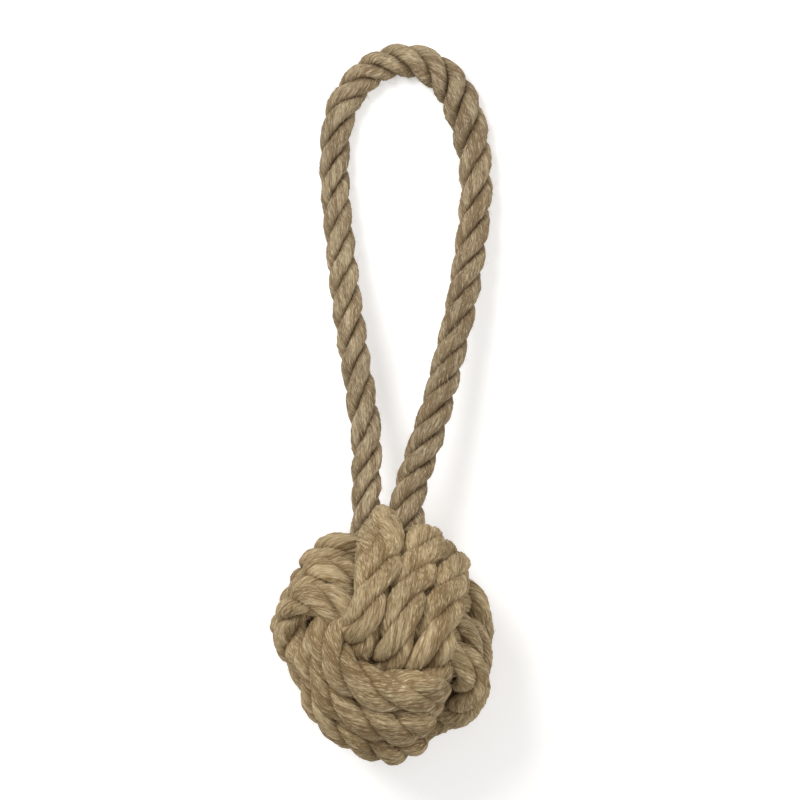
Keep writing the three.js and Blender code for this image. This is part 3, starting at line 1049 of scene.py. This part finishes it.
def add_lamp(name, place, size, power):
    lamp = bpy.data.objects.new(name, bpy.data.lights.new(name, "AREA"))
    lamp.data.shape = "DISK"
    lamp.data.size = size
    lamp.data.energy = power
    lamp.location = place
    lamp.rotation_mode = "QUATERNION"
    away = lamp.location - Vector(LAMP_AIM)
    lamp.rotation_quaternion = away.to_track_quat("Z", "Y")
    bpy.context.scene.collection.objects.link(lamp)


class ROPETOY_OT_stage(bpy.types.Operator):
    """Sets up the camera straight above, the soft lamps and the pale floor"""

    bl_idname = "ropetoy.stage"
    bl_label = "Stage"

    def execute(self, context):
        scene = context.scene
        scene.view_settings.view_transform = "Standard"
        settings = scene.rope_toy_stage
        camera = bpy.data.objects.new("photo_camera", bpy.data.cameras.new("photo_camera"))
        camera.data.sensor_width = SENSOR_MM
        camera.data.lens = SENSOR_MM * CAMERA_DISTANCE / (FRAME_PIXELS * PIXEL_MM * MM)
        across, forward = FRAME_MIDDLE
        height = CAMERA_DISTANCE + knot_centre()[2] * MM
        camera.location = (across * MM, forward * MM, height)
        scene.collection.objects.link(camera)
        scene.camera = camera
        powers = (settings.key_power, settings.fill_power, settings.top_power)
        for lamp, power in zip(LAMPS, powers):
            add_lamp(*lamp, power)
        world = bpy.data.worlds.new("studio")
        world.use_nodes = True
        tree = world.node_tree
        tree.nodes.clear()
        strength = {"To Min": settings.sky, "To Max": 1.0}
        links = (("Value", backdrop_rays(tree)),)
        strength = add_node(tree, "ShaderNodeMapRange", strength, links).outputs[0]
        links = (("Strength", strength),)
        sky = add_node(tree, "ShaderNodeBackground", {"Color": (1, 1, 1, 1)}, links)
        add_node(tree, "ShaderNodeOutputWorld", {}, (("Surface", sky.outputs[0]),))
        scene.world = world
        corners = np.array(((-1, -1, 0), (1, -1, 0), (1, 1, 0), (-1, 1, 0))) * FLOOR_REACH / MM
        paper = kept_material("paper_matt_white", paper_material, settings.floor_glow)
        add_piece("floor", corners, [(0, 1, 2, 3)], paper)
        return {"FINISHED"}


class ROPETOY_OT_handle(bpy.types.Operator):
    """Lays the rope of the handle, down both legs and into the knot"""

    bl_idname = "ropetoy.handle"
    bl_label = "Handle rope"

    def execute(self, context):
        sizes = context.scene.rope_toy_sizes
        jute, fibre = rope_materials(context.scene.rope_toy_colours)
        handle = handle_rope(knot_rope(sizes)[0], sizes)
        step = sizes.row_step / MM * HANDLE_ROW_SHARE
        rows = handle.rows(handle.along[0], 0, step)
        shade = np.interp(rows.along / handle.along[0], HANDLE_SHADE_AT, HANDLE_SHADE)
        piece, places, ways = rope_piece("handle_rope", rows, sizes, jute, shade, HANDLE_FADED)
        skins = ((places, ways),)
        fuzz = fuzz_piece("handle_fuzz", skins, sizes.handle_fibres, sizes, HANDLE_FIBRE_SEED, fibre)
        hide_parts("left_leg_root", "right_leg_root", "handle_loop")
        for soft in (piece, fuzz):
            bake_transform(soft)
        (handle.rows(handle.along[0], 0, PATH_STEP).centre * MM).tolist()
        return {"FINISHED"}


class ROPETOY_OT_knot(bpy.types.Operator):
    """Lays the rope of the knot's three coils, each over the one before it"""

    bl_idname = "ropetoy.knot"
    bl_label = "Knot turns"

    def execute(self, context):
        sizes = context.scene.rope_toy_sizes
        jute, fibre = rope_materials(context.scene.rope_toy_colours)
        knot, starts = knot_rope(sizes)
        ends = (0, *starts, knot.along[-1])
        skins = []
        for i, (name, node, shade) in enumerate(COIL_PIECES):
            rows = knot.rows(ends[i], ends[i + 1], sizes.row_step / MM)
            piece, places, ways = rope_piece(name, rows, sizes, jute, shade)
            skins.append((places, ways))
            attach(piece, "knot")
            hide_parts(node)
        fuzz = fuzz_piece("knot_fuzz", skins, sizes.knot_fibres, sizes, KNOT_FIBRE_SEED, fibre)
        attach(fuzz, "knot")
        return {"FINISHED"}


class ROPETOY_OT_core(bpy.types.Operator):
    """Finishes the ball that the knot is tied round"""

    bl_idname = "ropetoy.core"
    bl_label = "Core ball"

    def execute(self, context):
        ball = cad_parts["core_ball"]
        ball.data.materials.clear()
        ball.data.materials.append(kept_material("beech_turned_bare", beech_material))
        return {"FINISHED"}


class ROPETOY_PT_panel(bpy.types.Panel):
    """Lists the rope toy's sizes, colours and stage, and the operators that make it"""

    bl_label = "Rope toy"
    bl_idname = "ROPETOY_PT_panel"
    bl_space_type = "VIEW_3D"
    bl_region_type = "UI"
    bl_category = "Rope toy"

    def draw(self, context):
        scene = context.scene
        for group in (scene.rope_toy_sizes, scene.rope_toy_colours, scene.rope_toy_stage):
            box = self.layout.box()
            for name in group.__annotations__:
                box.prop(group, name)
        for operator in OPERATORS:
            self.layout.operator(operator.bl_idname)


# The camera and the rope's free handle come first
OPERATORS = (ROPETOY_OT_stage, ROPETOY_OT_handle, ROPETOY_OT_knot, ROPETOY_OT_core)
CLASSES = (RopeToySizes, RopeToyColours, RopeToyStage, *OPERATORS, ROPETOY_PT_panel)


def register():
    for cls in CLASSES:
        bpy.utils.register_class(cls)
    bpy.types.Scene.rope_toy_sizes = bpy.props.PointerProperty(type=RopeToySizes)
    bpy.types.Scene.rope_toy_colours = bpy.props.PointerProperty(type=RopeToyColours)
    bpy.types.Scene.rope_toy_stage = bpy.props.PointerProperty(type=RopeToyStage)


def unregister():
    del bpy.types.Scene.rope_toy_stage
    del bpy.types.Scene.rope_toy_colours
    del bpy.types.Scene.rope_toy_sizes
    for cls in reversed(CLASSES):
        bpy.utils.unregister_class(cls)


def build():
    register()
    bpy.ops.ropetoy.stage()
    bpy.ops.ropetoy.handle()
    bpy.ops.ropetoy.knot()
    bpy.ops.ropetoy.core()


if __name__ == "__main__":
    build()
